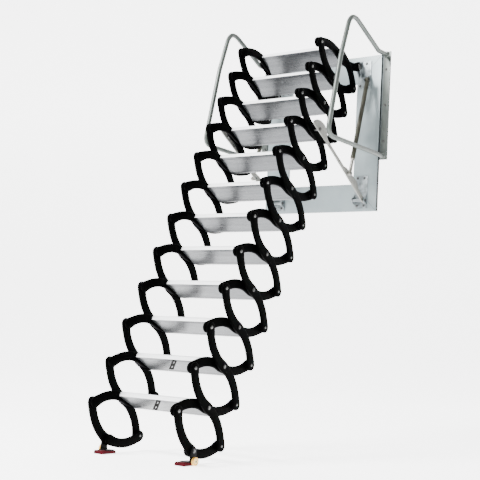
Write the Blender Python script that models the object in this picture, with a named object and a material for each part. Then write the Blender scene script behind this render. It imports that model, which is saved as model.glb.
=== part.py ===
"""Wall-mounted scissor attic ladder: frame, handrails, twelve treads and their lazy-tong arms.

Metres, +Z up.  The wall lies in the plane Y = 0, the ladder reaches out towards -Y and
X = 0 is the middle plane.  Heights are measured from the floor while building; the finished
object is then lowered so that its origin lies on the back face of the frame's lower rear lip.
"""
import math

import bmesh
import bpy
from mathutils import Matrix, Vector

# ---- overall size -----------------------------------------------------------------------
UNIT_COUNT = 12              # closed rings per side; one tread to each
PIVOT_HEIGHT = 0.070         # lowest crossing pivot above the floor
FOOT_REACH = 1.480           # lowest crossing pivot out from the wall
LADDER_SLOPE = 61.92         # line through the crossing pivots, degrees from the floor
HALF_LINK = 0.2277           # crossing pivot to end pivot of every arm
OPENING = (59.375, 0.2034, 0.0406)   # half angle of ring k: a + b k + c k^2, degrees

# ---- arms -------------------------------------------------------------------------------
ARM_WIDTH = 0.044
ARM_SAG = 0.0275             # how far each half arm bows away from its chord
INNER_X = (0.2560, 0.2725)   # layer beside the treads
OUTER_X = (0.2770, 0.2935)   # layer on the outside
FIT = 0.0003                 # air between touching pieces

# ---- treads -----------------------------------------------------------------------------
TREAD_DEPTH = 0.1464
TREAD_THICK = 0.0305
TREAD_WALL = 0.0030
TREAD_TILT = -30.0           # plate against the chord of its arm, degrees
TREAD_FRONT = (-0.0611, 0.0202)      # lower front edge, along and above the arm chord
LATCHED_TREADS = (1, 2)

# ---- pivots -----------------------------------------------------------------------------
SLEEVE_RADIUS = 0.0130

# ---- wall frame -------------------------------------------------------------------------
FRAME_OUT_X = 0.4053
FRAME_BOTTOM, FRAME_TOP = 1.4137, 2.3608
FRAME_MEMBER = 0.1660
FRAME_DEPTH = 0.0200
SHEET = 0.0030
FRAME_LIP = 0.0180
ORIGIN_HEIGHT = FRAME_BOTTOM + FRAME_LIP / 2     # the wall mount, above the floor

# ---- brackets, legs and struts ------------------------------------------------------------
PLATE = 0.0050
TOP_BASE = (2.165, 2.330)    # height range of the upper bracket's wall plate
LOW_BASE = (1.432, 1.628)
LOW_INNER_X, LOW_OUTER_X = 0.2560, 0.3390        # inner faces' start of the lower cheeks
STRUT_CHEEK_X = (0.3310, 0.3360)
STRUT_TOP = (-0.0858, 2.1985)
LEG_FOOT = (-0.0450, 1.4764)
LEG_UNIT = 9                 # crossing pivot the legs are pinned to
LEG_X = (0.3240, 0.3320)
LEG_STRUT_AT = 0.236         # strut pin up the leg from its foot
LEG_PIN_RADIUS, STRUT_PIN_RADIUS, BRACE_PIN_RADIUS = 0.0090, 0.0080, 0.0070
LEG_STUD_RADIUS = 0.0100
STRUT_X = 0.3500
CYLINDER_RADIUS = 0.0135
CYLINDER_LENGTH = 0.515
BORE_FROM = 0.340
ROD_RADIUS = 0.0095
ROD_FROM = 0.455
CYLINDER_EYE, ROD_EYE = 0.0150, 0.0120           # eye radii
ROD_EYE_HALF = 0.0100        # half thickness of the rod's eye

# ---- handrails --------------------------------------------------------------------------
RAIL_X = 0.4345
RAIL_RADIUS = 0.0135
RAIL_BAR = (0.4056, 0.4620)
RAIL_BAR_Y = (-0.0150, -0.0070)
# corner points of one loop (Y, Z) and the bend radius at each
RAIL_POINTS = (
    (-0.0120, 2.3590, 0.0), (-0.1130, 2.3590, 0.05), (-0.4350, 2.5160, 0.085),
    (-0.5270, 2.2350, 0.30), (-0.6300, 1.7650, 0.055), (-0.0120, 1.7430, 0.0),
)

# ---- feet -------------------------------------------------------------------------------
PAD_Y = (-0.070, 0.030)
PAD_X = (0.2400, 0.3020)
PAD_THICK = 0.0140
TONGUE_X = (0.2940, 0.3020)
SOLE_THICK = 0.0060
ROLLER_RADIUS = 0.0210
ROLLER_X = (0.3024, 0.3180)

# ---- colours ----------------------------------------------------------------------------
FINISHES = {
    "arm black": ((0.012, 0.012, 0.013), 0.25, 0.42),
    "tread aluminium": ((0.62, 0.63, 0.62), 0.9, 0.35),
    "frame grey": ((0.47, 0.53, 0.55), 0.1, 0.45),
    "strut olive": ((0.10, 0.095, 0.065), 0.4, 0.45),
    "leg beige": ((0.36, 0.34, 0.29), 0.6, 0.40),
    "rail grey": ((0.42, 0.45, 0.44), 0.7, 0.35),
    "pad red": ((0.25, 0.008, 0.014), 0.0, 0.60),
    "roller cream": ((0.86, 0.72, 0.40), 0.0, 0.45),
}


def clear_scene():
    for obj in list(bpy.data.objects):
        bpy.data.objects.remove(obj, do_unlink=True)
    for group in (bpy.data.meshes, bpy.data.curves, bpy.data.materials):
        for block in list(group):
            group.remove(block)


def collection(name):
    made = bpy.data.collections.get(name) or bpy.data.collections.new(name)
    if name not in bpy.context.scene.collection.children:
        bpy.context.scene.collection.children.link(made)
    return made


def finish(name):
    made = bpy.data.materials.get(name)
    if made is None:
        colour, metallic, roughness = FINISHES[name]
        made = bpy.data.materials.new(name)
        made.use_nodes = True
        shader = made.node_tree.nodes["Principled BSDF"]
        shader.inputs["Base Color"].default_value = (*colour, 1.0)
        shader.inputs["Metallic"].default_value = metallic
        shader.inputs["Roughness"].default_value = roughness
    return made


# ---- flat geometry in the (Y, Z) plane ------------------------------------------------------
def polar(origin, degrees, length):
    turn = math.radians(degrees)
    return (origin[0] + length * math.cos(turn), origin[1] + length * math.sin(turn))


def blend(p, q, t):
    return (p[0] + (q[0] - p[0]) * t, p[1] + (q[1] - p[1]) * t)


def ring_angle(k):
    a, b, c = OPENING
    return a + b * k + c * k * k


def pivots():
    """Crossing pivots C[0..12], front pivots F[0..11] and rear pivots B[0..12]."""
    crossing, front, rear = [(-FOOT_REACH, PIVOT_HEIGHT)], [], []
    for k in range(UNIT_COUNT + 1):
        here, half = crossing[-1], ring_angle(k)
        rear.append(polar(here, LADDER_SLOPE - half, HALF_LINK))
        if k < UNIT_COUNT:
            front.append(polar(here, LADDER_SLOPE + half, HALF_LINK))
            pitch = 2.0 * HALF_LINK * math.cos(math.radians(half))
            crossing.append(polar(here, LADDER_SLOPE, pitch))
    return crossing, front, rear


def bow(start, end, sag, steps=6):
    """Points of a shallow arc; a positive sag bows to the left of the direction of travel."""
    along = (end[0] - start[0], end[1] - start[1])
    length = math.hypot(*along)
    side = (-along[1] / length, along[0] / length)
    points = []
    for i in range(steps + 1):
        t = i / steps
        base, lift = blend(start, end, t), 4.0 * sag * t * (1.0 - t)
        points.append((base[0] + side[0] * lift, base[1] + side[1] * lift))
    return points


def ribbon(line, width, cap_steps=4):
    """Outline of a strip of constant width with round ends, following the line."""
    sides, headings = ([], []), []
    for i, point in enumerate(line):
        before, after = line[max(i - 1, 0)], line[min(i + 1, len(line) - 1)]
        headings.append(math.degrees(math.atan2(after[1] - before[1], after[0] - before[0])))
        for side, store in zip((-90, 90), sides):
            store.append(polar(point, headings[-1] + side, width / 2))
    outline = list(sides[0])
    outline += [polar(line[-1], headings[-1] - 90 + 180 * i / cap_steps, width / 2)
                for i in range(1, cap_steps)]
    outline += sides[1][::-1]
    outline += [polar(line[0], headings[0] + 90 + 180 * i / cap_steps, width / 2)
                for i in range(1, cap_steps)]
    return outline


def place(points, origin, turn, tilt=0.0):
    """Move local (along, up) points to an origin, turned by a heading and a tilt in degrees."""
    c, s = math.cos(math.radians(turn + tilt)), math.sin(math.radians(turn + tilt))
    return [(origin[0] + u * c - v * s, origin[1] + u * s + v * c) for u, v in points]


def heading(start, end):
    return math.degrees(math.atan2(end[1] - start[1], end[0] - start[0]))


# ---- solids ---------------------------------------------------------------------------------
def link(name, data, matrix, material, home):
    obj = bpy.data.objects.new(name, data)
    obj.matrix_world = matrix
    data.materials.append(finish(material))
    collection(home).objects.link(obj)
    if home == "cutters":
        obj.hide_render, obj.display_type = True, "WIRE"
    return obj


def as_mesh(obj):
    """Swap a curve object for a welded mesh object of the same name and place."""
    bpy.context.view_layer.update()
    graph = bpy.context.evaluated_depsgraph_get()
    mesh = bpy.data.meshes.new_from_object(obj.evaluated_get(graph))
    bm = bmesh.new()
    bm.from_mesh(mesh)
    bmesh.ops.remove_doubles(bm, verts=bm.verts, dist=1e-5)
    bmesh.ops.recalc_face_normals(bm, faces=bm.faces)
    bm.to_mesh(mesh)
    bm.free()
    name, matrix, home = obj.name, obj.matrix_world.copy(), obj.users_collection[0]
    bpy.data.objects.remove(obj, do_unlink=True)
    made = bpy.data.objects.new(name, mesh)
    made.matrix_world = matrix
    home.objects.link(made)
    return made


def plate(name, outlines, x_range, material, pivot, home="attic_ladder"):
    """Flat outlines in (Y, Z), thick along X; the object's origin is its pivot."""
    curve = bpy.data.curves.new(name, "CURVE")
    curve.dimensions, curve.fill_mode = "2D", "BOTH"
    curve.extrude = abs(x_range[1] - x_range[0]) / 2
    for outline in outlines:
        spline = curve.splines.new("POLY")
        spline.points.add(len(outline) - 1)
        for point, (y, z) in zip(spline.points, outline):
            point.co = (y - pivot[0], z - pivot[1], 0.0, 1.0)
        spline.use_cyclic_u = True
    matrix = Matrix(((0, 0, 1, sum(x_range) / 2), (1, 0, 0, pivot[0]),
                     (0, 1, 0, pivot[1]), (0, 0, 0, 1)))
    return as_mesh(link(name, curve, matrix, material, home))


def rod(name, start, end, radius, material, home="attic_ladder", sides=12):
    """A round bar from one point to another."""
    start, end = Vector(start), Vector(end)
    mesh = bpy.data.meshes.new(name)
    bm = bmesh.new()
    bmesh.ops.create_cone(bm, cap_ends=True, segments=sides, radius1=radius, radius2=radius,
                          depth=(end - start).length)
    bm.to_mesh(mesh)
    bm.free()
    turn = (end - start).to_track_quat("Z", "X").to_matrix().to_4x4()
    return link(name, mesh, Matrix.Translation((start + end) / 2) @ turn, material, home)


def box(name, low, high, material, home="attic_ladder"):
    mesh = bpy.data.meshes.new(name)
    bm = bmesh.new()
    bmesh.ops.create_cube(bm, size=1.0)
    size = [abs(b - a) for a, b in zip(low, high)]
    bmesh.ops.scale(bm, verts=bm.verts, vec=size)
    bm.to_mesh(mesh)
    bm.free()
    centre = [(a + b) / 2 for a, b in zip(low, high)]
    return link(name, mesh, Matrix.Translation(centre), material, home)


def combine(obj, others, operation="UNION"):
    """Apply exact Booleans of other solids to one object; the others are used up."""
    for other in others:
        step = obj.modifiers.new(operation.lower(), "BOOLEAN")
        step.operation, step.solver, step.object = operation, "EXACT", other
        bpy.context.view_layer.update()
        graph = bpy.context.evaluated_depsgraph_get()
        merged = bpy.data.meshes.new_from_object(obj.evaluated_get(graph))
        obj.modifiers.clear()
        obj.data = merged
        bpy.data.objects.remove(other, do_unlink=True)
    return obj


def on_side(side, x_range):
    """An X range given for the right-hand side, mirrored for side -1."""
    return tuple(sorted(side * x for x in x_range))


SIDES = (("left", -1), ("right", 1))


def disc_plate(name, side, centre, radius, x_range, material, sides=12):
    x0, x1 = on_side(side, x_range)
    return rod(name, (x0, *centre), (x1, *centre), radius, material, "cutters", sides)


# ---- ladder ---------------------------------------------------------------------------------
def inner_line(k, crossing, front, rear):
    line = bow(front[k - 1], crossing[k], ARM_SAG) if k else []
    return line + bow(crossing[k], rear[k], -ARM_SAG)[1 if line else 0:]


def outer_line(k, crossing, front, rear):
    line = bow(rear[k - 1], crossing[k], -ARM_SAG) if k else []
    if k < UNIT_COUNT:
        line += bow(crossing[k], front[k], ARM_SAG)[1 if line else 0:]
    return line


def sleeves(side, centres):
    """Spacer sleeves that stand on the inner layer's outer face and reach the outer layer."""
    reach = (INNER_X[1] - 0.004, OUTER_X[0] - FIT)
    return [disc_plate("sleeve", side, c, SLEEVE_RADIUS, reach, "arm black", 8) for c in centres]


def build_outer_arms(crossing, front, rear):
    for k in range(UNIT_COUNT + 1):
        outline = ribbon(outer_line(k, crossing, front, rear), ARM_WIDTH)
        for name, side in SIDES:
            plate(f"outer_arm_{name}_{k:02d}", [outline], on_side(side, OUTER_X), "arm black",
                  crossing[k])


def tread_outline(inset):
    low, deep, high = inset, TREAD_DEPTH - inset, TREAD_THICK - inset
    return [(low, low + 0.003), (low + 0.003, low), (deep - 0.002, low), (deep, low + 0.002),
            (deep, high - 0.002), (deep - 0.002, high), (low + 0.012, high),
            (low + 0.006, high - 0.0015), (low + 0.002, high - 0.0055), (low, high - 0.012)]


def build_steps(crossing, front, rear):
    """Each tread with the two inner arms that carry it, and their spacer sleeves."""
    reach = INNER_X[0] + 0.003
    for k in range(1, UNIT_COUNT + 1):
        chord = heading(front[k - 1], rear[k])
        corner = place([TREAD_FRONT], crossing[k], chord)[0]
        outlines = [place(tread_outline(inset), corner, chord, TREAD_TILT)
                    for inset in (0.0, TREAD_WALL)]
        step = plate(f"step_{k:02d}", outlines, (-reach, reach), "tread aluminium", crossing[k])
        if k in LATCHED_TREADS:
            strip = [(0.012, -0.0025), (0.062, -0.0025), (0.062, 0.001), (0.012, 0.001)]
            strip = place(strip, corner, chord, TREAD_TILT)
            combine(step, [plate("latch", [strip], (-0.011, 0.011), "tread aluminium",
                                 crossing[k], "cutters")])
        arm = ribbon(inner_line(k, crossing, front, rear), ARM_WIDTH)
        ends = [front[k - 1], crossing[k]] + ([rear[k]] if k < UNIT_COUNT else [])
        for name, side in SIDES:
            combine(step, [plate("arm", [arm], on_side(side, INNER_X), "arm black",
                                 crossing[k], "cutters")] + sleeves(side, ends))


def build_lower_arms(crossing, front, rear):
    arm = ribbon(inner_line(0, crossing, front, rear), ARM_WIDTH)
    for name, side in SIDES:
        obj = plate(f"lower_arm_{name}", [arm], on_side(side, INNER_X), "arm black", crossing[0])
        combine(obj, sleeves(side, [crossing[0], rear[0]]))


# ---- wall frame -----------------------------------------------------------------------------
def ring_box(name, edge_out, edge_in, y_range, home):
    """A rectangular ring between two distances in from the frame's outer edge."""
    def walls(inset):
        return (FRAME_OUT_X - inset, FRAME_BOTTOM + inset, FRAME_TOP - inset)
    (x, low, high), (xi, lowi, highi) = walls(edge_out), walls(edge_in)
    over = 0.001
    ring = box(name, (-x, y_range[0], low), (x, y_range[1], high), "frame grey", home)
    hole = box("hole", (-xi, y_range[0] - over, lowi), (xi, y_range[1] + over, highi),
               "frame grey", "cutters")
    return combine(ring, [hole], "DIFFERENCE")


def build_frame():
    frame = ring_box("wall_frame", 0.0, FRAME_MEMBER, (-FRAME_DEPTH, 0.0), "attic_ladder")
    inside = (SHEET - FRAME_DEPTH, -SHEET)
    cavity = ring_box("cavity", SHEET, FRAME_MEMBER - SHEET, inside, "cutters")
    slot = ring_box("slot", FRAME_LIP, FRAME_MEMBER - FRAME_LIP, (-SHEET - 0.001, 0.001), "cutters")
    combine(frame, [cavity, slot], "DIFFERENCE")


def bracket(name, side, base_z, base_x, cheeks, pivot):
    """A base plate on the frame's face with upright cheeks, given as (outline, X range)."""
    face = -FRAME_DEPTH - FIT
    x0, x1 = on_side(side, base_x)
    obj = box(name, (x0, face - PLATE, base_z[0]), (x1, face, base_z[1]), "frame grey")
    return combine(obj, [plate("cheek", [outline], on_side(side, x_range), "frame grey", pivot,
                               "cutters") for outline, x_range in cheeks])


def cheek_outline(pin, low, high, radius):
    """A tapering cheek from the frame's face, low to high, rounded about its pin."""
    face = -FRAME_DEPTH - FIT
    nose = [polar(pin, 90 + 36 * i, radius) for i in range(6)]
    return [(face, low), (face, high)] + nose


def build_brackets(lug):
    lug_cheek = cheek_outline(lug, lug[1] - 0.075, TOP_BASE[1], 0.019)
    strut_cheek = cheek_outline(STRUT_TOP, TOP_BASE[0], STRUT_TOP[1] + 0.045, 0.015)
    low_cheek = cheek_outline(LEG_FOOT, LEG_FOOT[1] - 0.026, LEG_FOOT[1] + 0.045, 0.019)
    lug_in = (INNER_X[0] - FIT - PLATE, INNER_X[0] - FIT)
    lug_out = (INNER_X[1] + FIT, OUTER_X[0] - FIT)
    low_in, low_out = (LOW_INNER_X, LOW_INNER_X + PLATE), (LOW_OUTER_X, LOW_OUTER_X + PLATE)
    for name, side in SIDES:
        top = bracket(f"bracket_top_{name}", side, TOP_BASE, (lug_in[0], STRUT_CHEEK_X[1]),
                      [(lug_cheek, lug_in), (lug_cheek, lug_out), (strut_cheek, STRUT_CHEEK_X)],
                      lug)
        stud = (STRUT_CHEEK_X[1] - 0.002, STRUT_X - CYLINDER_RADIUS - FIT)
        combine(top, [disc_plate("stud", side, STRUT_TOP, STRUT_PIN_RADIUS, stud, "frame grey")])
        low = bracket(f"bracket_bottom_{name}", side, LOW_BASE, (low_in[0], low_out[1]),
                      [(low_cheek, low_in), (low_cheek, low_out)], LEG_FOOT)
        pins = [(low_in[1] - 0.002, LEG_X[0] - FIT), (LEG_X[1] + FIT, low_out[0] + 0.002)]
        combine(low, [disc_plate("pin", side, LEG_FOOT, LEG_PIN_RADIUS, p, "frame grey")
                      for p in pins])


def rounded_path(points, steps=5):
    path = [points[0][:2]]
    for before, here, after in zip(points, points[1:], points[2:]):
        reach = [math.dist(here[:2], other[:2]) for other in (before, after)]
        turn = [heading(here, other) for other in (before, after)]
        half = math.radians(abs((turn[0] - turn[1] + 180.0) % 360.0 - 180.0)) / 2
        trim = min(here[2] / math.tan(half), 0.48 * reach[0], 0.48 * reach[1])
        start, end = polar(here, turn[0], trim), polar(here, turn[1], trim)
        for i in range(steps + 1):
            t = i / steps
            path.append(blend(blend(start, here[:2], t), blend(here[:2], end, t), t))
    path.append(points[-1][:2])
    return path


def build_handrails():
    path = rounded_path(RAIL_POINTS)
    for name, side in SIDES:
        curve = bpy.data.curves.new("rail", "CURVE")
        curve.dimensions, curve.use_fill_caps = "3D", True
        curve.bevel_depth, curve.bevel_resolution = RAIL_RADIUS, 2
        spline = curve.splines.new("POLY")
        spline.points.add(len(path) - 1)
        for point, (y, z) in zip(spline.points, path):
            point.co = (side * RAIL_X, y, z, 1.0)
        rail = as_mesh(link(f"handrail_{name}", curve, Matrix(), "rail grey", "attic_ladder"))
        x0, x1 = on_side(side, RAIL_BAR)
        bar = box("bar", (x0, RAIL_BAR_Y[0], RAIL_POINTS[-1][1] - 0.022),
                  (x1, RAIL_BAR_Y[1], RAIL_POINTS[0][1] + 0.0175), "rail grey", "cutters")
        combine(rail, [bar])


# ---- legs and struts ------------------------------------------------------------------------
def build_legs(crossing):
    top = crossing[LEG_UNIT]
    length, turn = math.dist(top, LEG_FOOT), heading(LEG_FOOT, top)
    local = [(-0.014, -0.009), (0.006, -0.016), (0.10, -0.013), (length - 0.16, -0.010),
             (length - 0.03, -0.022), (length + 0.030, -0.021), (length + 0.072, 0.002),
             (length + 0.066, 0.030), (length - 0.02, 0.034), (length - 0.16, 0.010),
             (0.10, 0.013), (0.006, 0.016), (-0.014, 0.009)]
    outline = place(local, LEG_FOOT, turn)
    pin = polar(LEG_FOOT, turn, LEG_STRUT_AT)
    for name, side in SIDES:
        leg = plate(f"support_leg_{name}", [outline], on_side(side, LEG_X), "leg beige", LEG_FOOT)
        combine(leg, [
            disc_plate("stud", side, top, LEG_STUD_RADIUS, (OUTER_X[1] + FIT, LEG_X[0] + 0.002),
                       "leg beige"),
            disc_plate("stud", side, pin, BRACE_PIN_RADIUS,
                       (LEG_X[1] - 0.002, STRUT_X - ROD_EYE_HALF - FIT), "leg beige")])
    return pin


def build_struts(pin):
    turn = heading(STRUT_TOP, pin)

    def at(side, distance):
        return (side * STRUT_X, *polar(STRUT_TOP, turn, distance))

    for name, side in SIDES:
        tube = rod(f"strut_cylinder_{name}", at(side, 0.0), at(side, CYLINDER_LENGTH),
                   CYLINDER_RADIUS, "strut olive")
        bore = rod("bore", at(side, BORE_FROM), at(side, CYLINDER_LENGTH + 0.001),
                   ROD_RADIUS + 0.0008, "strut olive", "cutters")
        combine(tube, [bore], "DIFFERENCE")
        eye = (STRUT_X - CYLINDER_RADIUS, STRUT_X + CYLINDER_RADIUS)
        combine(tube, [disc_plate("eye", side, STRUT_TOP, CYLINDER_EYE, eye, "strut olive")])
        end = math.dist(STRUT_TOP, pin)
        piston = rod(f"strut_rod_{name}", at(side, ROD_FROM), at(side, end), ROD_RADIUS, "leg beige")
        eye = (STRUT_X - ROD_EYE_HALF, STRUT_X + ROD_EYE_HALF)
        combine(piston, [disc_plate("eye", side, pin, ROD_EYE, eye, "leg beige")])


# ---- feet -----------------------------------------------------------------------------------
def build_feet(crossing):
    y, z = crossing[0]
    top = PAD_THICK + FIT
    tongue = [(y - 0.034, top), (y + 0.024, top), (y + 0.021, z), (y + 0.014, z + 0.016),
              (y, z + 0.021), (y - 0.014, z + 0.016), (y - 0.021, z)]
    pad = [(y + PAD_Y[0], 0.0), (y + PAD_Y[1], 0.0), (y + PAD_Y[1], PAD_THICK),
           (y + PAD_Y[0] + 0.006, PAD_THICK), (y + PAD_Y[0], PAD_THICK - 0.006)]
    wheel = (y, ROLLER_RADIUS + FIT)
    for name, side in SIDES:
        foot = plate(f"foot_{name}", [tongue], on_side(side, TONGUE_X), "arm black", crossing[0])
        x0, x1 = on_side(side, (PAD_X[0] + 0.004, PAD_X[1]))
        combine(foot, [box("sole", (x0, y + PAD_Y[0] + 0.006, top),
                           (x1, y + PAD_Y[1] - 0.004, top + SOLE_THICK), "arm black", "cutters")])
        plate(f"foot_pad_{name}", [pad], on_side(side, PAD_X), "pad red", crossing[0])
        x0, x1 = on_side(side, ROLLER_X)
        rod(f"foot_roller_{name}", (x0, *wheel), (x1, *wheel), ROLLER_RADIUS, "roller cream",
            sides=16)


def main():
    clear_scene()
    crossing, front, rear = pivots()
    build_frame()
    build_brackets(rear[UNIT_COUNT])
    build_handrails()
    build_outer_arms(crossing, front, rear)
    build_steps(crossing, front, rear)
    build_lower_arms(crossing, front, rear)
    build_struts(build_legs(crossing))
    build_feet(crossing)
    for obj in collection("attic_ladder").objects:
        obj.location.z -= ORIGIN_HEIGHT


main()
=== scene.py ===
import math

import bmesh
import bpy
from mathutils import Matrix, Vector


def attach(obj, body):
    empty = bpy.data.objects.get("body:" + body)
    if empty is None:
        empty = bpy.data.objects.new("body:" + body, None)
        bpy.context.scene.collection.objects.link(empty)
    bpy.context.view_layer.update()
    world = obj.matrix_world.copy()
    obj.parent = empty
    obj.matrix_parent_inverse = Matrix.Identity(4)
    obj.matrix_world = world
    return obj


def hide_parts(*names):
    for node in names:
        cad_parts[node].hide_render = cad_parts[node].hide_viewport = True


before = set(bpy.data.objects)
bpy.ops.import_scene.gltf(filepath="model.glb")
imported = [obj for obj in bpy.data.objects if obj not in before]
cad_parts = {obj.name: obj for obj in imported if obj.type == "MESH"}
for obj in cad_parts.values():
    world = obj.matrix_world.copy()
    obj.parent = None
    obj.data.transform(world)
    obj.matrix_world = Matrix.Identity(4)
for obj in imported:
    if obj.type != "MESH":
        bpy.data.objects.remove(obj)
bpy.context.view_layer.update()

# ---- dimensions shared with the CAD part (metres, degrees; FLOOR turns a height into Z) -------
UNIT_COUNT = 12
PIVOT_HEIGHT, FOOT_REACH, LADDER_SLOPE = 0.070, 1.480, 61.92
HALF_LINK = 0.2277
OPENING = (59.375, 0.2034, 0.0406)
ARM_WIDTH, ARM_SAG = 0.049, 0.0275
INNER_X, OUTER_X = (0.2560, 0.2725), (0.2770, 0.2935)
TREAD_DEPTH, TREAD_THICK, TREAD_TILT = 0.1464, 0.0305, -30.0
TREAD_FRONT = (-0.0611, 0.0202)
FLOOR = -1.4227
FRAME_OUT_X, FRAME_MEMBER, FRAME_DEPTH = 0.4053, 0.1660, 0.0200
FRAME_LOW, FRAME_HIGH = 1.4137 + FLOOR, 2.3608 + FLOOR
STRUT_TOP = (-0.0858, 2.1985 + FLOOR)
LEG_FOOT = (-0.0450, 1.4764 + FLOOR)
LEG_UNIT, LEG_X, LEG_STRUT_AT = 9, (0.3240, 0.3320), 0.236
STRUT_X, CYLINDER_LENGTH, BORE_START = 0.3500, 0.515, 0.370
RAIL_X, RAIL_RADIUS = 0.4345, 0.0135
RAIL_BAR, RAIL_BAR_Y = (0.4056, 0.4620), (-0.0150, -0.0070)
RAIL_WEB, RAIL_WEB_Y = 0.4170, (-0.0090, -0.0070)
RAIL_POINTS = (
    (-0.0120, 2.3590, 0.0), (-0.1130, 2.3590, 0.05), (-0.4350, 2.5160, 0.085),
    (-0.5270, 2.2350, 0.30), (-0.6300, 1.7650, 0.055), (-0.0120, 1.7430, 0.0),
)
SIDES = (("left", -1), ("right", 1))
TO_ROOM = (0, -1, 0)                 # away from the wall

# ---- dimensions of the visible pieces --------------------------------------------------------
ARM_STEPS, CAP_STEPS = 14, 8         # points along each half arm, and around its end
EDGE = 0.0052                        # rounding of the cast arms' edges
HUB, HUB_SPREAD = 0.0042, 0.030      # swelling of an arm at its pivots, and how far it reaches
SLEEVE, SLEEVE_SUNK = 0.0195, 0.004  # spacers between the arm layers: radius, depth in each arm
SEAT = 0.0004                        # how deep a head sits in the face it stands on
RIBS, RIB_PITCH = 9, 0.0130
GROOVES = (0.016, 0.0200)            # underside grooves, from the nose and from the rear edge
TREAD_OVERLAP = 0.0030               # how far a tread reaches into each inner arm
LATCHED = (1, 2)                     # units whose treads carry a latch plate
LATCH = (0.0150, -0.0540, 0.0010)    # half width, outer and inner ends
LATCH_X, LATCH_IN = 0.0135, 0.0030   # its place across, and behind the tread's nose
SEAM_ENDS, SEAM_HALF = (0.0015, 0.0012), 0.0007      # mitre seams: gap at each end, half width
SCREW_INSET = (0.016, 0.022)         # screw holes from the frame's inner corners, across and up
BRACKET_FACE = 0.0053                # front of the brackets' wall plates, off the frame
TOP_BOLTS = ((0.2640, 0.3060), (2.180, 2.314))       # bracket bolts: across, and their heights
LOW_BOLTS = ((0.2755, 0.3220), (1.4465, 1.6135))
LUG_FACE, LEG_CHEEKS = 0.2504, (0.2562, 0.3438)      # faces under the heads of the brackets' pins
RAIL_PAST = (0.022, 0.0175)          # rail bar past the loop's ends, below and above
RAIL_STEPS, RAIL_BOLT_INSET = 16, 0.090
LEG_PIN_START, LEG_PIN, BRACE_PIN = 0.2950, 0.0100, 0.0070
ROD_START, ROD_RADIUS = 0.455, 0.0095
STRUT_RADIUS, STRUT_LIP, BORE_RADIUS = 0.0135, 0.0141, 0.0103
STRUT_EYE, ROD_EYE = (0.0105, 0.0150), (0.0100, 0.0120)       # half length and radius
TONGUE_RADIUS, PAD_TOP = 0.021, 0.0140
TONGUE_X, SOLE_X, PAD_X = (0.2938, 0.3020), (0.2440, 0.3018), (0.2400, 0.3020)
WHEEL_X, WHEEL_HEIGHT = 0.3024, 0.0213               # inner face and axis of a roller

# ---- camera and light ------------------------------------------------------------------------
CAMERA_AT = (3.6952, -5.6591, 0.6492 + FLOOR)
CAMERA_AZIMUTH, CAMERA_RISE, CAMERA_ROLL, CAMERA_LENS = 37.27, 4.85, 2.93, 82.32
SWEEP_GLOW = 3.2
SWEEP_BEND, SWEEP_START, SWEEP_HALF = 3.5, 4.5, 20.0
SWEEP_FRONT, SWEEP_TOP = -16.0, 14.0
WORLD_LIGHT, WORLD_SEEN = 0.55, 4.6  # as light on the object, and as seen past the sweep


# ---- materials -------------------------------------------------------------------------------
def material(name, low, high, metallic=0.0, rough=(0.3, 0.4), scale=9.0, stretch=(1, 1, 1),
             bump=0.0, bump_scale=180.0, specular=0.5, grime=None):
    """Principled surface whose colour, roughness and relief come from layered noise."""
    mat = bpy.data.materials.new(name)
    mat.use_nodes = True
    tree = mat.node_tree
    shader = tree.nodes["Principled BSDF"]
    shader.inputs["Metallic"].default_value = metallic
    shader.inputs["Specular IOR Level"].default_value = specular

    def node(kind, **values):
        made = tree.nodes.new(kind)
        for key, value in values.items():
            if key in made.inputs:
                made.inputs[key].default_value = value
            else:
                setattr(made, key, value)
        return made

    coords = node("ShaderNodeTexCoord")
    place = node("ShaderNodeMapping", Scale=stretch)
    tree.links.new(coords.outputs["Object"], place.inputs["Vector"])
    broad = node("ShaderNodeTexNoise", Scale=scale, Detail=6.0, Roughness=0.6)
    fine = node("ShaderNodeTexNoise", Scale=bump_scale, Detail=3.0, Roughness=0.55)
    for noise in (broad, fine):
        tree.links.new(place.outputs["Vector"], noise.inputs["Vector"])
    ramp = node("ShaderNodeValToRGB")
    ramp.color_ramp.elements[0].position, ramp.color_ramp.elements[1].position = 0.30, 0.72
    ramp.color_ramp.elements[0].color = (*low, 1.0)
    ramp.color_ramp.elements[1].color = (*high, 1.0)
    tree.links.new(broad.outputs["Fac"], ramp.inputs["Fac"])
    colour = ramp.outputs["Color"]
    if grime:
        spots = node("ShaderNodeTexVoronoi", Scale=grime[1])
        tree.links.new(coords.outputs["Object"], spots.inputs["Vector"])
        keep = node("ShaderNodeMapRange")
        keep.inputs["From Min"].default_value, keep.inputs["From Max"].default_value = 0.02, 0.09
        keep.inputs["To Min"].default_value, keep.inputs["To Max"].default_value = 0.35, 0.0
        tree.links.new(spots.outputs["Distance"], keep.inputs["Value"])
        mix = node("ShaderNodeMix", data_type="RGBA")
        mix.inputs[7].default_value = (*grime[0], 1.0)
        tree.links.new(keep.outputs["Result"], mix.inputs[0])
        tree.links.new(colour, mix.inputs[6])
        colour = mix.outputs[2]
    tree.links.new(colour, shader.inputs["Base Color"])
    spread = node("ShaderNodeMapRange")
    spread.inputs["From Min"].default_value, spread.inputs["From Max"].default_value = 0.3, 0.7
    spread.inputs["To Min"].default_value, spread.inputs["To Max"].default_value = rough
    tree.links.new(fine.outputs["Fac"], spread.inputs["Value"])
    tree.links.new(spread.outputs["Result"], shader.inputs["Roughness"])
    if bump:
        relief = node("ShaderNodeBump", Strength=bump, Distance=0.0006)
        tree.links.new(fine.outputs["Fac"], relief.inputs["Height"])
        tree.links.new(relief.outputs["Normal"], shader.inputs["Normal"])
    return mat


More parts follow.
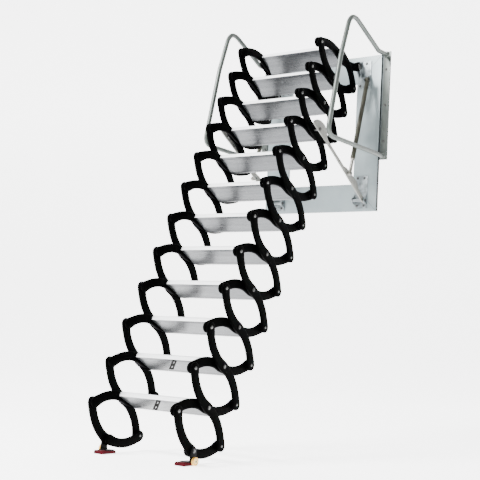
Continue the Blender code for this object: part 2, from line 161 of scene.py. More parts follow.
ARM = material("cast black", (0.0001, 0.0001, 0.0001), (0.0005, 0.0005, 0.0006), 0.0, (0.36, 0.52),
               14.0, bump=0.18, bump_scale=420.0, specular=0.008)
# dark copy of the tread aluminium: painted shade on the underside, rear edge and ends
TREAD_SHADED = material("tread aluminium", (0.078, 0.081, 0.086), (0.118, 0.122, 0.127), 0.85, (0.24, 0.34),
                 3.0, stretch=(0.6, 14.0, 14.0), bump=0.03, bump_scale=24.0)
# near-white non-metal copy of the tread aluminium: painted highlight on the lit nose face
NOSE_HIGHLIGHT = material("tread nose", (0.93, 0.94, 0.95), (1.0, 1.0, 1.0), 0.0, (0.30, 0.42), 3.0,
                stretch=(0.6, 14.0, 14.0), bump=0.03, bump_scale=24.0)
WALK = material("tread walking face", (0.34, 0.35, 0.36), (0.50, 0.51, 0.52), 0.80, (0.34, 0.48), 3.0,
                stretch=(0.6, 14.0, 14.0), bump=0.03, bump_scale=24.0)
STEEL = material("pin steel", (0.055, 0.055, 0.055), (0.14, 0.14, 0.137), 1.0, (0.26, 0.40), 60.0,
                 bump=0.06)
FRAME = material("frame paint", (0.185, 0.225, 0.235), (0.250, 0.292, 0.302), 0.20, (0.34, 0.50), 4.0,
                 bump=0.08, bump_scale=260.0, grime=((0.17, 0.20, 0.205), 34.0))
BRACKET = material("bracket zinc", (0.060, 0.072, 0.078), (0.290, 0.325, 0.335), 0.35, (0.30, 0.46),
                   26.0, bump=0.10)
# dark tone for the mitre seams (dark joints) and, on the handrail's recessed web, painted shade
SEAM_AND_SHADE = material("frame seam and painted shade", (0.050, 0.062, 0.065), (0.090, 0.108, 0.112), 0.2, (0.45, 0.6), 40.0)
# near-black painted shade for the frame's outer side walls, not a paint colour
SIDE_SHADE = material("frame side painted shade", (0.008, 0.010, 0.011), (0.018, 0.022, 0.023), 0.0, (0.45, 0.6), 40.0,
                specular=0.15)
RAIL = material("rail paint", (0.056, 0.067, 0.061), (0.092, 0.104, 0.096), 0.40, (0.28, 0.42), 12.0,
                bump=0.05)
LEG = material("leg zinc", (0.150, 0.150, 0.137), (0.225, 0.226, 0.208), 0.35, (0.32, 0.48), 16.0,
               stretch=(1, 3, 1), bump=0.08)
OLIVE = material("strut paint", (0.028, 0.028, 0.018), (0.048, 0.048, 0.035), 0.30, (0.32, 0.46), 20.0,
                 bump=0.06)
ROD = material("rod steel", (0.150, 0.146, 0.128), (0.225, 0.219, 0.196), 0.5, (0.26, 0.38), 30.0)
SHOE = material("shoe plastic", (0.0005, 0.0005, 0.0006), (0.0018, 0.0018, 0.0020), 0.0,
                (0.42, 0.58), 30.0, bump=0.2, bump_scale=700.0, specular=0.06)
PAD = material("pad rubber", (0.032, 0.0002, 0.0020), (0.062, 0.0005, 0.0046), 0.0, (0.60, 0.80), 26.0,
               bump=0.25, bump_scale=600.0, specular=0.08)
CREAM = material("roller cream", (0.90, 0.62, 0.20), (1.0, 0.86, 0.42), 0.0, (0.30, 0.45), 40.0,
                 bump=0.08)
AMBER = material("roller rim", (0.70, 0.36, 0.05), (0.86, 0.54, 0.12), 0.0, (0.30, 0.44), 40.0,
                 bump=0.08)
LATCH_STEEL = material("latch steel", (0.0018, 0.0018, 0.0017), (0.005, 0.005, 0.0046), 0.3,
                       (0.38, 0.55), 50.0, bump=0.1, specular=0.2)


# ---- flat geometry in the (Y, Z) plane -------------------------------------------------------
def polar(origin, degrees, length):
    turn = math.radians(degrees)
    return (origin[0] + length * math.cos(turn), origin[1] + length * math.sin(turn))


def blend(p, q, t):
    return (p[0] + (q[0] - p[0]) * t, p[1] + (q[1] - p[1]) * t)


def heading(start, end):
    return math.degrees(math.atan2(end[1] - start[1], end[0] - start[0]))


def pivots():
    crossing, front, rear = [(-FOOT_REACH, PIVOT_HEIGHT + FLOOR)], [], []
    a, b, c = OPENING
    for k in range(UNIT_COUNT + 1):
        here, half = crossing[-1], a + b * k + c * k * k
        rear.append(polar(here, LADDER_SLOPE - half, HALF_LINK))
        if k < UNIT_COUNT:
            front.append(polar(here, LADDER_SLOPE + half, HALF_LINK))
            crossing.append(polar(here, LADDER_SLOPE, 2 * HALF_LINK * math.cos(math.radians(half))))
    return crossing, front, rear


def bow(start, end, sag):
    """Points from start to end on a shallow parabola that bows to the left by sag."""
    along = (end[0] - start[0], end[1] - start[1])
    length = math.hypot(*along)
    side = (-along[1] / length, along[0] / length)
    line = []
    for i in range(ARM_STEPS + 1):
        t = i / ARM_STEPS
        base, lift = blend(start, end, t), 4.0 * sag * t * (1.0 - t)
        line.append((base[0] + side[0] * lift, base[1] + side[1] * lift))
    return line


def ribbon(line, hubs):
    """Closed outline of an arm around its line, which swells near each pivot in hubs."""
    sides, turns = ([], []), []
    for i, point in enumerate(line):
        before, after = line[max(i - 1, 0)], line[min(i + 1, len(line) - 1)]
        turns.append(heading(before, after))
        near = max(math.exp(-(math.dist(point, h) / HUB_SPREAD) ** 2) for h in hubs)
        for side, store in zip((-90, 90), sides):
            store.append(polar(point, turns[-1] + side, ARM_WIDTH / 2 + HUB * near))
    end_hub = ARM_WIDTH / 2 + (HUB if line[-1] in hubs else 0.0)
    start_hub = ARM_WIDTH / 2 + (HUB if line[0] in hubs else 0.0)
    caps = [180 * i / CAP_STEPS for i in range(1, CAP_STEPS)]
    outline = list(sides[0])
    outline += [polar(line[-1], turns[-1] - 90 + a, end_hub) for a in caps]
    outline += sides[1][::-1]
    outline += [polar(line[0], turns[0] + 90 + a, start_hub) for a in caps]
    return outline


def place(points, origin, turn):
    c, s = math.cos(math.radians(turn)), math.sin(math.radians(turn))
    return [(origin[0] + u * c - v * s, origin[1] + u * s + v * c) for u, v in points]


# ---- meshes ----------------------------------------------------------------------------------
def settle(name, mesh, mat, angle=38.0):
    """Give a mesh its material, smooth shading and an object at the row frame's origin."""
    mesh.materials.clear()
    mesh.materials.append(mat)
    mesh.polygons.foreach_set("use_smooth", [True] * len(mesh.polygons))
    mesh.set_sharp_from_angle(angle=math.radians(angle))
    obj = bpy.data.objects.new(name.replace(" ", "-"), mesh)
    bpy.context.scene.collection.objects.link(obj)
    return obj


def from_curve(name, curve, matrix, mat, angle=38.0):
    holder = bpy.data.objects.new(name, curve)
    bpy.context.scene.collection.objects.link(holder)
    bpy.context.view_layer.update()
    graph = bpy.context.evaluated_depsgraph_get()
    mesh = bpy.data.meshes.new_from_object(holder.evaluated_get(graph))
    bpy.data.objects.remove(holder, do_unlink=True)
    bpy.data.curves.remove(curve)
    mesh.transform(matrix)
    bm = bmesh.new()
    bm.from_mesh(mesh)
    bmesh.ops.remove_doubles(bm, verts=bm.verts, dist=1e-5)
    bmesh.ops.recalc_face_normals(bm, faces=bm.faces)
    bm.to_mesh(mesh)
    bm.free()
    return settle(name, mesh, mat, angle)


def flat_curve(name, outlines, half, edge, resolution):
    """A filled 2D curve of closed outlines that reaches half to each side of its plane."""
    curve = bpy.data.curves.new(name, "CURVE")
    curve.dimensions, curve.fill_mode = "2D", "BOTH"
    curve.extrude, curve.bevel_depth = half - edge, edge
    curve.offset, curve.bevel_resolution = -edge, resolution
    for outline in outlines:
        spline = curve.splines.new("POLY")
        spline.points.add(len(outline) - 1)
        for point, (across, up) in zip(spline.points, outline):
            point.co = (across, up, 0.0, 1.0)
        spline.use_cyclic_u = True
    return curve


def slab(name, outlines, x_range, edge, mat, angle=38.0):
    """Outlines in (Y, Z), thick along X, with rounded edges."""
    low, high = sorted(x_range)
    curve = flat_curve(name, outlines, (high - low) / 2, edge, 3)
    matrix = Matrix(((0, 0, 1, (low + high) / 2), (1, 0, 0, 0), (0, 1, 0, 0), (0, 0, 0, 1)))
    return from_curve(name, curve, matrix, mat, angle)


def panel(name, outlines, y_range, edge, mat):
    """Outlines in (X, Z), thick along Y, with rounded edges."""
    low, high = sorted(y_range)
    curve = flat_curve(name, outlines, (high - low) / 2, edge, 2)
    matrix = Matrix(((1, 0, 0, 0), (0, 0, -1, (low + high) / 2), (0, 1, 0, 0), (0, 0, 0, 1)))
    return from_curve(name, curve, matrix, mat)


class Turned:
    """Collects turned solids (profiles of distance and radius along an axis) in one mesh."""

    def __init__(self):
        self.bm = bmesh.new()

    def add(self, profile, start, axis, sides=24):
        axis = Vector(axis).normalized()
        across = axis.orthogonal().normalized()
        other = axis.cross(across)
        rings = []
        for distance, radius in profile:
            centre = Vector(start) + axis * distance
            if radius <= 0:
                rings.append([self.bm.verts.new(centre)])
                continue
            angles = [2 * math.pi * i / sides for i in range(sides)]
            rings.append([self.bm.verts.new(centre + across * (radius * math.cos(a))
                                            + other * (radius * math.sin(a))) for a in angles])
        for one, two in zip(rings, rings[1:]):
            for i in range(sides):
                j = (i + 1) % sides
                corners = [one[i % len(one)], one[j % len(one)], two[j % len(two)], two[i % len(two)]]
                self.bm.faces.new(list(dict.fromkeys(corners)))
        return self

    def bar(self, start, axis, length, radius, soft=0.0008, sides=24):
        profile = [(0, 0), (0, radius - soft), (soft, radius), (length - soft, radius),
                   (length, radius - soft), (length, 0)]
        return self.add(profile, start, axis, sides)

    def hexhead(self, start, axis, radius, height):
        self.add([(0, 0), (0, radius * 1.32), (0.0012, radius * 1.32), (0.0012, 0)], start, axis)
        top = Vector(start) + Vector(axis).normalized() * 0.0012
        profile = [(0, 0), (0, radius), (height * 0.8, radius), (height, radius * 0.86), (height, 0)]
        return self.add(profile, top, axis, 6)

    def dome(self, start, axis, radius, height):
        steps = 5
        profile = [(0, 0), (0, radius)]
        for i in range(1, steps + 1):
            a = math.pi / 2 * i / steps
            profile.append((height * math.sin(a), radius * math.cos(a) if i < steps else 0.0))
        return self.add(profile, start, axis, 20)

    def done(self, name, mat):
        bmesh.ops.recalc_face_normals(self.bm, faces=self.bm.faces)
        mesh = bpy.data.meshes.new(name)
        self.bm.to_mesh(mesh)
        self.bm.free()
        return settle(name, mesh, mat)


def on_side(side, x_range):
    return tuple(sorted(side * x for x in x_range))


def set_up(obj, body, *nodes, slot=None):
    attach(obj, "frame" if body == f"inner_{UNIT_COUNT:02d}" else body)
    if nodes:
        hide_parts(*nodes)


CROSSING, FRONT, REAR = pivots()


# ---- the ladder ------------------------------------------------------------------------------
def inner_line(k):
    line = bow(FRONT[k - 1], CROSSING[k], ARM_SAG) if k else []
    return line + bow(CROSSING[k], REAR[k], -ARM_SAG)[1 if line else 0:]


def outer_line(k):
    line = bow(REAR[k - 1], CROSSING[k], -ARM_SAG) if k else []
    if k < UNIT_COUNT:
        line += bow(CROSSING[k], FRONT[k], ARM_SAG)[1 if line else 0:]
    return line


def build_arms():
    for k in range(UNIT_COUNT + 1):
        tag, inner, outer = f"{k:02d}", f"inner_{k:02d}", f"outer_{k:02d}"
        ends_in = ([FRONT[k - 1]] if k else []) + [REAR[k]]
        ends_out = ([REAR[k - 1]] if k else []) + ([FRONT[k]] if k < UNIT_COUNT else [])
        hubs = ends_in + ends_out + [CROSSING[k]]
        steel_in, steel_out = Turned(), Turned()
        for name, side in SIDES:
            arm = slab(f"inner arm {name} {tag}", [ribbon(inner_line(k), hubs)],
                       on_side(side, INNER_X), EDGE, ARM)
            set_up(arm, inner, *([f"lower_arm_{name}"] if k == 0 else []), slot="arm")
            arm = slab(f"outer arm {name} {tag}", [ribbon(outer_line(k), hubs)],
                       on_side(side, OUTER_X), EDGE, ARM)
            set_up(arm, outer, f"outer_arm_{name}_{tag}", slot="arm")
            out = (side, 0, 0)
            back = (-side, 0, 0)
            outer_face = side * (OUTER_X[1] - SEAT)
            for y, z in ends_in + [CROSSING[k]]:
                gap = (side * (INNER_X[1] - SLEEVE_SUNK), y, z)
                length = OUTER_X[0] - INNER_X[1] + 2 * SLEEVE_SUNK
                steel_in.bar(gap, out, length, SLEEVE, 0.0006, 28)
            steel_in.dome((side * (INNER_X[0] + SEAT), *REAR[k]), back, 0.0070, 0.0026)
            steel_out.hexhead((outer_face, *CROSSING[k]), out, 0.0078, 0.0042)
            if k:
                steel_out.dome((outer_face, *REAR[k - 1]), out, 0.0068, 0.0028)
            if k < UNIT_COUNT:
                steel_out.dome((outer_face, *FRONT[k]), out, 0.0090, 0.0036)
        set_up(steel_in.done(f"spacers {tag}", STEEL), inner)
        set_up(steel_out.done(f"bolts {tag}", STEEL), outer)


def tread_profile():
    """Front nose at u = 0, underside on v = 0, ribbed walking face on v = TREAD_THICK."""
    deep, high = TREAD_DEPTH, TREAD_THICK
    points = [(0.0, 0.0035), (0.0010, 0.0012), (0.0035, 0.0)]
    for u in (GROOVES[0], deep - GROOVES[1]):
        points += [(u, 0.0), (u + 0.0008, 0.0010), (u + 0.0030, 0.0010), (u + 0.0038, 0.0)]
    points += [(deep - 0.0030, 0.0), (deep - 0.0008, 0.0008), (deep, 0.0030),
               (deep, high - 0.0035), (deep - 0.0010, high - 0.0012), (deep - 0.0035, high)]
    for i in range(RIBS):
        u = deep - 0.012 - i * RIB_PITCH
        points += [(u, high), (u - 0.0012, high - 0.0018), (u - 0.0042, high - 0.0018),
                   (u - 0.0054, high)]
    points += [(0.0115, high), (0.0060, high - 0.0014), (0.0022, high - 0.0052), (0.0, high - 0.012)]
    return points


def build_treads():
    reach = INNER_X[0] + TREAD_OVERLAP
    walk = TREAD_THICK - 0.004
    for k in range(1, UNIT_COUNT + 1):
        chord = heading(FRONT[k - 1], REAR[k])
        corner = place([TREAD_FRONT], CROSSING[k], chord)[0]
        turn = chord + TREAD_TILT
        tread = slab(f"tread {k:02d}", [place(tread_profile(), corner, turn)], (-reach, reach),
                     0.0003, TREAD_SHADED, 30.0)
        tread.data.materials.append(NOSE_HIGHLIGHT)
        tread.data.materials.append(WALK)
        facing = Vector((0.0, -math.cos(math.radians(turn)), -math.sin(math.radians(turn))))
        upward = Vector((0.0, -math.sin(math.radians(turn)), math.cos(math.radians(turn))))
        for face in tread.data.polygons:
            lift = (face.center - Vector((0.0, *corner))).dot(upward)
            # faces turned toward the nose get the near-white second material, a painted highlight
            if face.normal.dot(facing) > 0.80 and lift < walk:
                face.material_index = 1
            elif lift > walk:
                face.material_index = 2
        set_up(tread, f"inner_{k:02d}", f"step_{k:02d}", slot="tread")
        if k in LATCHED:
            build_latch(k, corner, turn)


def build_latch(k, corner, turn):
    """A dark plate with two holes that stands off a tread's underside at its front edge."""
    wide, low, high = LATCH
    rings = [[(-wide, low), (wide, low), (wide, high), (-wide, high)]]
    for middle in (low + (high - low) * 0.27, low + (high - low) * 0.73):
        rings.append([(wide * 0.36 * math.cos(math.radians(a)),
                       middle + wide * 0.40 * math.sin(math.radians(a))) for a in range(0, 360, 20)])
    curve = flat_curve("latch", rings, 0.0014, 0.0005, 4)
    y, z = place([(LATCH_IN, 0.0)], corner, turn)[0]
    s, c = math.sin(math.radians(turn)), math.cos(math.radians(turn))
    matrix = Matrix(((1, 0, 0, LATCH_X), (0, -s, -c, y), (0, c, -s, z), (0, 0, 0, 1)))
    set_up(from_curve(f"latch {k:02d}", curve, matrix, LATCH_STEEL), f"inner_{k:02d}")


# ---- wall frame and brackets -----------------------------------------------------------------
def soften(node, width, mat):
    """Keep a CAD node's shape, round its edges and give it a procedural surface."""
    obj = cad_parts[node]
    obj.data.materials.clear()
    obj.data.materials.append(mat)
    obj.data.polygons.foreach_set("use_smooth", [True] * len(obj.data.polygons))
    obj.data.set_sharp_from_angle(angle=math.radians(30))
    weld = obj.modifiers.new("weld", "WELD")
    weld.merge_threshold = 0.00002
    bevel = obj.modifiers.new("edges", "BEVEL")
    bevel.width, bevel.segments, bevel.limit_method = width, 3, "ANGLE"
    bevel.angle_limit = math.radians(35)
    bevel.harden_normals = True
    return obj


def build_frame():
    shell = soften("wall_frame", 0.0016, FRAME)
    shell.data.materials.append(SIDE_SHADE)
    # the outer side faces (normal along X) get the near-black second material: painted shade on the
    # frame's side walls
    for polygon in shell.data.polygons:
        outside = abs(polygon.center.x) > FRAME_OUT_X - 0.001 and abs(polygon.normal.x) > 0.9
        polygon.material_index = int(outside)
    face = -FRAME_DEPTH
    seams = []
    inner_x = FRAME_OUT_X - FRAME_MEMBER
    inner_z = {FRAME_LOW: FRAME_LOW + FRAME_MEMBER, FRAME_HIGH: FRAME_HIGH - FRAME_MEMBER}
    for sx in (-1, 1):
        for out_z, in_z in inner_z.items():
            inward = 1 if in_z > out_z else -1
            a = Vector((sx * (FRAME_OUT_X - SEAM_ENDS[0]), out_z + inward * SEAM_ENDS[0]))
            b = Vector((sx * (inner_x + SEAM_ENDS[1]), in_z - inward * SEAM_ENDS[1]))
            along = (b - a).normalized()
            half = Vector((-along.y, along.x)) * SEAM_HALF
            seams.append([tuple(a + half), tuple(b + half), tuple(b - half), tuple(a - half)])
    seam = panel("mitre seams", seams, (face - SEAT, face + 0.0008), 0.0002, SEAM_AND_SHADE)
    set_up(seam, "frame")
    screws, holes = Turned(), Turned()
    for sx in (-1, 1):
        for z in (inner_z[FRAME_LOW] - SCREW_INSET[1], inner_z[FRAME_HIGH] + SCREW_INSET[1]):
            at = (sx * (inner_x + SCREW_INSET[0]), face, z)
            # each hole is a thin rim around a shallow recessed cup, all near-black: painted shade
            # inside the hole
            holes.add([(0, 0), (0, 0.0078), (0.0006, 0.0078), (0.0006, 0.0052), (-0.0008, 0.0048),
                       (-0.0008, 0)], at, TO_ROOM)
    set_up(holes.done("frame screw holes painted shade", LATCH_STEEL), "frame")
    for name, side in SIDES:
        soften(f"bracket_top_{name}", 0.0009, BRACKET)
        soften(f"bracket_bottom_{name}", 0.0009, BRACKET)
        for (across, heights), size in ((TOP_BOLTS, (0.0060, 0.0040)), (LOW_BOLTS, (0.0058, 0.0038))):
            for x in across:
                for height in heights:
                    at = (side * x, face - BRACKET_FACE, height + FLOOR)
                    screws.hexhead(at, TO_ROOM, *size)
        lug = REAR[UNIT_COUNT]
        screws.hexhead((side * (OUTER_X[0] - 0.0006), *lug), (side, 0, 0), 0.0070, 0.0040)
        screws.hexhead((side * LUG_FACE, *lug), (-side, 0, 0), 0.0070, 0.0040)
        screws.hexhead((side * LEG_CHEEKS[1], *LEG_FOOT), (side, 0, 0), 0.0074, 0.0042)
        screws.hexhead((side * LEG_CHEEKS[0], *LEG_FOOT), (-side, 0, 0), 0.0074, 0.0042)
    set_up(screws.done("bracket bolts", STEEL), "frame")


def rounded_path(points):
    """Points (y, z, radius) joined by straight runs with a smooth bend at each inner point."""
    path = [points[0][:2]]
    for before, here, after in zip(points, points[1:], points[2:]):
        reach = [math.dist(here[:2], other[:2]) for other in (before, after)]
        turn = [heading(here, other) for other in (before, after)]
        half = math.radians(abs((turn[0] - turn[1] + 180.0) % 360.0 - 180.0)) / 2
        trim = min(here[2] / math.tan(half), 0.48 * reach[0], 0.48 * reach[1])
        start, end = polar(here, turn[0], trim), polar(here, turn[1], trim)
        for i in range(RAIL_STEPS + 1):
            t = i / RAIL_STEPS
            path.append(blend(blend(start, here[:2], t), blend(here[:2], end, t), t))
    path.append(points[-1][:2])
    return path


def tube(name, points, radius, mat):
    curve = bpy.data.curves.new(name, "CURVE")
    curve.dimensions, curve.use_fill_caps = "3D", True
    curve.bevel_depth, curve.bevel_resolution = radius, 5
    spline = curve.splines.new("POLY")
    spline.points.add(len(points) - 1)
    for point, where in zip(spline.points, points):
        point.co = (*where, 1.0)
    return from_curve(name, curve, Matrix(), mat, 60.0)


def build_handrails():
    path = rounded_path([(y, z + FLOOR, r) for y, z, r in RAIL_POINTS])
    low, high = RAIL_POINTS[-1][1] + FLOOR, RAIL_POINTS[0][1] + FLOOR
    for name, side in SIDES:
        rail = tube(f"handrail {name}", [(side * RAIL_X, y, z) for y, z in path], RAIL_RADIUS, RAIL)
        set_up(rail, "frame", f"handrail_{name}", slot="rail")
        # the web strip beside the flange is coloured dark: painted shade in the recess between rail bar
        # and frame
        for piece, span, depth, mat in (("flange", (RAIL_WEB, RAIL_BAR[1]), RAIL_BAR_Y, RAIL),
                                        ("web", (RAIL_BAR[0], RAIL_WEB + 0.001), RAIL_WEB_Y, SEAM_AND_SHADE)):
            x0, x1 = on_side(side, span)
            foot, head = low - RAIL_PAST[0], high + RAIL_PAST[1]
            outline = [(x0, foot), (x1, foot), (x1, head), (x0, head)]
            bar = panel(f"handrail {piece} {name}", [outline], depth, 0.0008, mat)
            set_up(bar, "frame", slot="rail")
        collars, bolts = Turned(), Turned()
        for z in (low, high):
            profile = [(0, 0), (0, 0.0188), (0.0012, 0.0194), (0.0060, 0.0165), (0.0075, 0.0137),
                       (0.0075, 0)]
            collars.add(profile, (side * RAIL_X, RAIL_BAR_Y[0] + SEAT, z), TO_ROOM, 28)
        for z in (low + RAIL_BOLT_INSET, (low + high) / 2, high - RAIL_BOLT_INSET):
            bolts.hexhead((side * RAIL_X, RAIL_BAR_Y[0] + 0.0003, z), TO_ROOM, 0.0060, 0.0038)
        set_up(collars.done(f"rail collars {name}", RAIL), "frame", slot="rail")
        set_up(bolts.done(f"rail bolts {name}", STEEL), "frame")


# ---- support legs and struts -----------------------------------------------------------------
def build_legs():
    top = CROSSING[LEG_UNIT]
    length, turn = math.dist(top, LEG_FOOT), heading(LEG_FOOT, top)
    local = [(-0.014, -0.009), (-0.006, -0.0145), (0.006, -0.016), (0.08, -0.014),
             (0.115, -0.034), (0.135, -0.037), (0.225, -0.029), (0.262, -0.022), (0.290, -0.0105),
             (length - 0.105, -0.0095), (length - 0.085, -0.016), (length - 0.060, -0.042),
             (length - 0.045, -0.050), (length - 0.020, -0.054), (length + 0.020, -0.046),
             (length + 0.052, -0.026), (length + 0.066, -0.006), (length + 0.070, 0.008),
             (length + 0.060, 0.017), (length + 0.015, 0.0165), (length - 0.05, 0.0130),
             (length - 0.16, 0.0095), (0.10, 0.013), (0.006, 0.016), (-0.006, 0.0145),
             (-0.014, 0.009), (-0.017, 0.0)]
    outline = place(local, LEG_FOOT, turn)
    rib = place([(0.045, -0.0045), (length - 0.135, -0.0045), (length - 0.130, 0.0),
                 (length - 0.135, 0.0045), (0.045, 0.0045), (0.040, 0.0)], LEG_FOOT, turn)
    pin = polar(LEG_FOOT, turn, LEG_STRUT_AT)
    for name, side in SIDES:
        leg = slab(f"leg {name}", [outline], on_side(side, LEG_X), 0.0012, LEG)
        set_up(leg, "legs", f"support_leg_{name}", slot="leg")
        bead_x = on_side(side, (LEG_X[1] - 0.001, LEG_X[1] + 0.0022))
        bead = slab(f"leg bead {name}", [rib], bead_x, 0.0010, LEG)
        set_up(bead, "legs", slot="leg")
        pins = Turned()
        out, back = (side, 0, 0), (-side, 0, 0)
        pins.bar((side * LEG_PIN_START, *top), out, LEG_X[0] - LEG_PIN_START + 0.0005, LEG_PIN)
        pins.hexhead((side * (LEG_X[1] - 0.0003), *top), out, 0.0086, 0.0048)
        pins.bar((side * (LEG_X[1] - 0.001), *pin), out, STRUT_X - 0.0095 - LEG_X[1], BRACE_PIN)
        pins.dome((side * (LEG_X[0] + 0.0003), *pin), back, 0.0080, 0.0030)
        set_up(pins.done(f"leg pins {name}", STEEL), "legs")
    return pin


def build_struts(pin):
    turn = heading(STRUT_TOP, pin)
    direction = (0.0, math.cos(math.radians(turn)), math.sin(math.radians(turn)))
    full = math.dist(STRUT_TOP, pin)

    def at(side, distance):
        return (side * STRUT_X, *polar(STRUT_TOP, turn, distance))

    for name, side in SIDES:
        body = Turned()
        end = CYLINDER_LENGTH
        body.add([(0.006, 0), (0.006, 0.0085), (0.018, STRUT_RADIUS), (end - 0.022, STRUT_RADIUS),
                  (end - 0.020, STRUT_LIP), (end - 0.0015, STRUT_LIP), (end, 0.0125),
                  (end, BORE_RADIUS), (BORE_START, BORE_RADIUS), (BORE_START, 0)],
                 at(side, 0), direction, 32)
        half, radius = STRUT_EYE
        body.bar((side * (STRUT_X - half), *STRUT_TOP), (side, 0, 0), 2 * half, radius, 0.0012, 32)
        set_up(body.done(f"strut tube {name}", OLIVE), "strut_cylinders", f"strut_cylinder_{name}",
               slot="strut_tube")
        cap = Turned()
        cap.hexhead((side * (STRUT_X + 0.0104), *STRUT_TOP), (side, 0, 0), 0.0078, 0.0042)
        set_up(cap.done(f"strut cap {name}", STEEL), "strut_cylinders")
        piston = Turned()
        piston.bar(at(side, ROD_START), direction, full - ROD_START, ROD_RADIUS, 0.0006)
        half, radius = ROD_EYE
        piston.bar((side * (STRUT_X - half), *pin), (side, 0, 0), 2 * half, radius, 0.0010, 28)
        set_up(piston.done(f"strut rod {name}", ROD), "strut_rods", f"strut_rod_{name}",
               slot="strut_rod")
        cap = Turned()
        cap.hexhead((side * (STRUT_X + 0.0099), *pin), (side, 0, 0), 0.0066, 0.0038)
        set_up(cap.done(f"rod cap {name}", STEEL), "strut_rods")


# ---- feet ------------------------------------------------------------------------------------
def build_feet():
    y, z = CROSSING[0]
    top, wheel_z = FLOOR + PAD_TOP, FLOOR + WHEEL_HEIGHT
    tongue = [(y - 0.034, top), (y + 0.024, top), (y + 0.0215, top + 0.012), (y + TONGUE_RADIUS, z)]
    tongue += [(y + TONGUE_RADIUS * math.cos(a), z + TONGUE_RADIUS * math.sin(a))
               for a in [math.pi * i / 10 for i in range(1, 10)]]
    tongue += [(y - TONGUE_RADIUS, z), (y - 0.023, top + 0.018), (y - 0.027, top + 0.009)]
    pad = [(y - 0.070, FLOOR + 0.0003), (y + 0.030, FLOOR + 0.0003), (y + 0.030, FLOOR + 0.012),
           (y + 0.027, FLOOR + 0.014), (y - 0.040, FLOOR + 0.0170), (y - 0.062, FLOOR + 0.0175),
           (y - 0.068, FLOOR + 0.0145), (y - 0.070, FLOOR + 0.010)]
    sole = [(y - 0.036, top), (y + 0.024, top), (y + 0.024, top + 0.005), (y - 0.033, top + 0.006)]
    for name, side in SIDES:
        shoe = slab(f"foot tongue {name}", [tongue], on_side(side, TONGUE_X), 0.0014, SHOE)
        set_up(shoe, "feet", f"foot_{name}", slot="shoe")
        base = slab(f"foot sole {name}", [sole], on_side(side, SOLE_X), 0.0012, SHOE)
        set_up(base, "feet", slot="shoe")
        soft = slab(f"foot pad {name}", [pad], on_side(side, PAD_X), 0.0022, PAD)
        set_up(soft, "feet", f"foot_pad_{name}", slot="pad")
        bolt = Turned()
        bolt.hexhead((side * (TONGUE_X[1] - 0.0003), y, z), (side, 0, 0), 0.0078, 0.0044)
        set_up(bolt.done(f"foot bolt {name}", STEEL), "feet")
        rim, hub = Turned(), Turned()
        start = (side * WHEEL_X, y, wheel_z)
        rim.add([(0, 0), (0, 0.0185), (0.0022, 0.0210), (0.0134, 0.0210), (0.0156, 0.0190),
                 (0.0156, 0.0128), (0.0140, 0.0122), (0.0140, 0)], start, (side, 0, 0), 40)
        hub.add([(0.0136, 0), (0.0136, 0.0124), (0.0152, 0.0118), (0.0154, 0.0070),
                 (0.0146, 0.0062), (0.0146, 0.0034), (0.0160, 0.0028), (0.0160, 0)], start,
                (side, 0, 0), 40)
        set_up(rim.done(f"roller rim {name}", AMBER), "rollers", f"foot_roller_{name}",
               slot="roller")
        set_up(hub.done(f"roller hub {name}", CREAM), "rollers", slot="roller")
        axle = Turned().dome((side * (WHEEL_X + 0.0158), y, wheel_z), (side, 0, 0), 0.0046, 0.0018)
        set_up(axle.done(f"roller axle {name}", LATCH_STEEL), "rollers")


# ---- stage, lights and camera ----------------------------------------------------------------
def build_stage():
    """A pale seamless sweep: floor, wide curve and back wall."""
    bm = bmesh.new()
    profile = [(SWEEP_FRONT, FLOOR - 0.0006), (SWEEP_START, FLOOR - 0.0006)]
    profile += [(SWEEP_START + SWEEP_BEND * math.sin(a), FLOOR + SWEEP_BEND - SWEEP_BEND * math.cos(a))
                for a in [math.pi / 2 * i / 24 for i in range(1, 25)]]
    profile.append((SWEEP_START + SWEEP_BEND, SWEEP_TOP))
    spin = Matrix.Rotation(math.radians(CAMERA_AZIMUTH), 4, "Z")
    rows = [[bm.verts.new(spin @ Vector((x, y, z))) for x in (-SWEEP_HALF, SWEEP_HALF)]
            for y, z in profile]
    for one, two in zip(rows, rows[1:]):
        bm.faces.new((one[0], one[1], two[1], two[0]))
    mesh = bpy.data.meshes.new("sweep")
    bm.to_mesh(mesh)
    bm.free()
    paint = material("sweep paint", (0.90, 0.90, 0.90), (0.94, 0.94, 0.94), 0.0, (0.8, 0.95), 1.5)
    sweep = settle("sweep", mesh, paint, 60.0)
    shader = paint.node_tree.nodes["Principled BSDF"]
    shader.inputs["Emission Color"].default_value = (1.0, 1.0, 1.0, 1.0)
    shader.inputs["Emission Strength"].default_value = SWEEP_GLOW


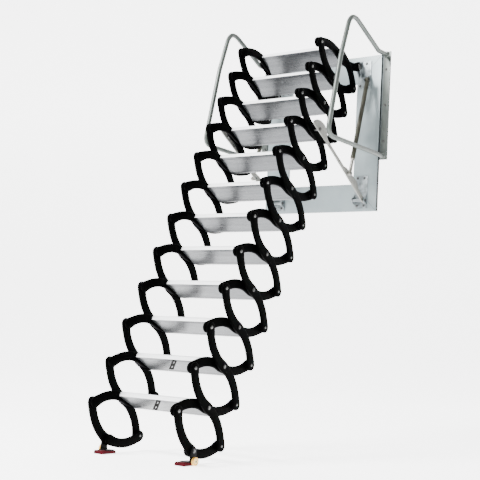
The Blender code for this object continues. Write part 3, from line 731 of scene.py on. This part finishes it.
def area_light(name, place_at, target, size, power):
    light = bpy.data.lights.new(name, "AREA")
    light.shape, light.size, light.energy = "DISK", size, power
    obj = bpy.data.objects.new(name, light)
    obj.location = place_at
    aim = Vector(target) - Vector(place_at)
    obj.rotation_mode = "QUATERNION"
    obj.rotation_quaternion = aim.to_track_quat("-Z", "Y")
    bpy.context.scene.collection.objects.link(obj)


def build_camera():
    az, el, roll = (math.radians(v) for v in (CAMERA_AZIMUTH, CAMERA_RISE, CAMERA_ROLL))
    forward = Vector((-math.sin(az) * math.cos(el), math.cos(az) * math.cos(el), math.sin(el)))
    level = Vector((math.cos(az), math.sin(az), 0.0))
    upright = level.cross(forward)
    right = level * math.cos(roll) + upright * math.sin(roll)
    up = upright * math.cos(roll) - level * math.sin(roll)
    data = bpy.data.cameras.new("camera")
    data.lens, data.sensor_width = CAMERA_LENS, 36.0
    camera = bpy.data.objects.new("camera", data)
    turn = Matrix((right, up, -forward)).transposed()
    camera.matrix_world = Matrix.Translation(CAMERA_AT) @ turn.to_4x4()
    bpy.context.scene.collection.objects.link(camera)
    bpy.context.scene.camera = camera


def build_light():
    world = bpy.data.worlds.new("studio")
    world.use_nodes = True
    background = world.node_tree.nodes["Background"]
    background.inputs["Color"].default_value = (1.0, 1.0, 1.0, 1.0)
    path = world.node_tree.nodes.new("ShaderNodeLightPath")
    level = world.node_tree.nodes.new("ShaderNodeMapRange")
    level.inputs["To Min"].default_value, level.inputs["To Max"].default_value = WORLD_LIGHT, WORLD_SEEN
    world.node_tree.links.new(path.outputs["Is Camera Ray"], level.inputs["Value"])
    world.node_tree.links.new(level.outputs["Result"], background.inputs["Strength"])
    bpy.context.scene.world = world
    area_light("key", (-1.6, -5.2, 4.4), (0.0, -0.8, -0.3), 2.0, 1300.0)
    area_light("fill", (4.5, -3.0, 1.6), (0.0, -0.7, -0.3), 3.0, 30.0)


build_arms()
build_treads()
build_frame()
build_handrails()
build_struts(build_legs())
build_feet()
build_stage()
build_light()
build_camera()
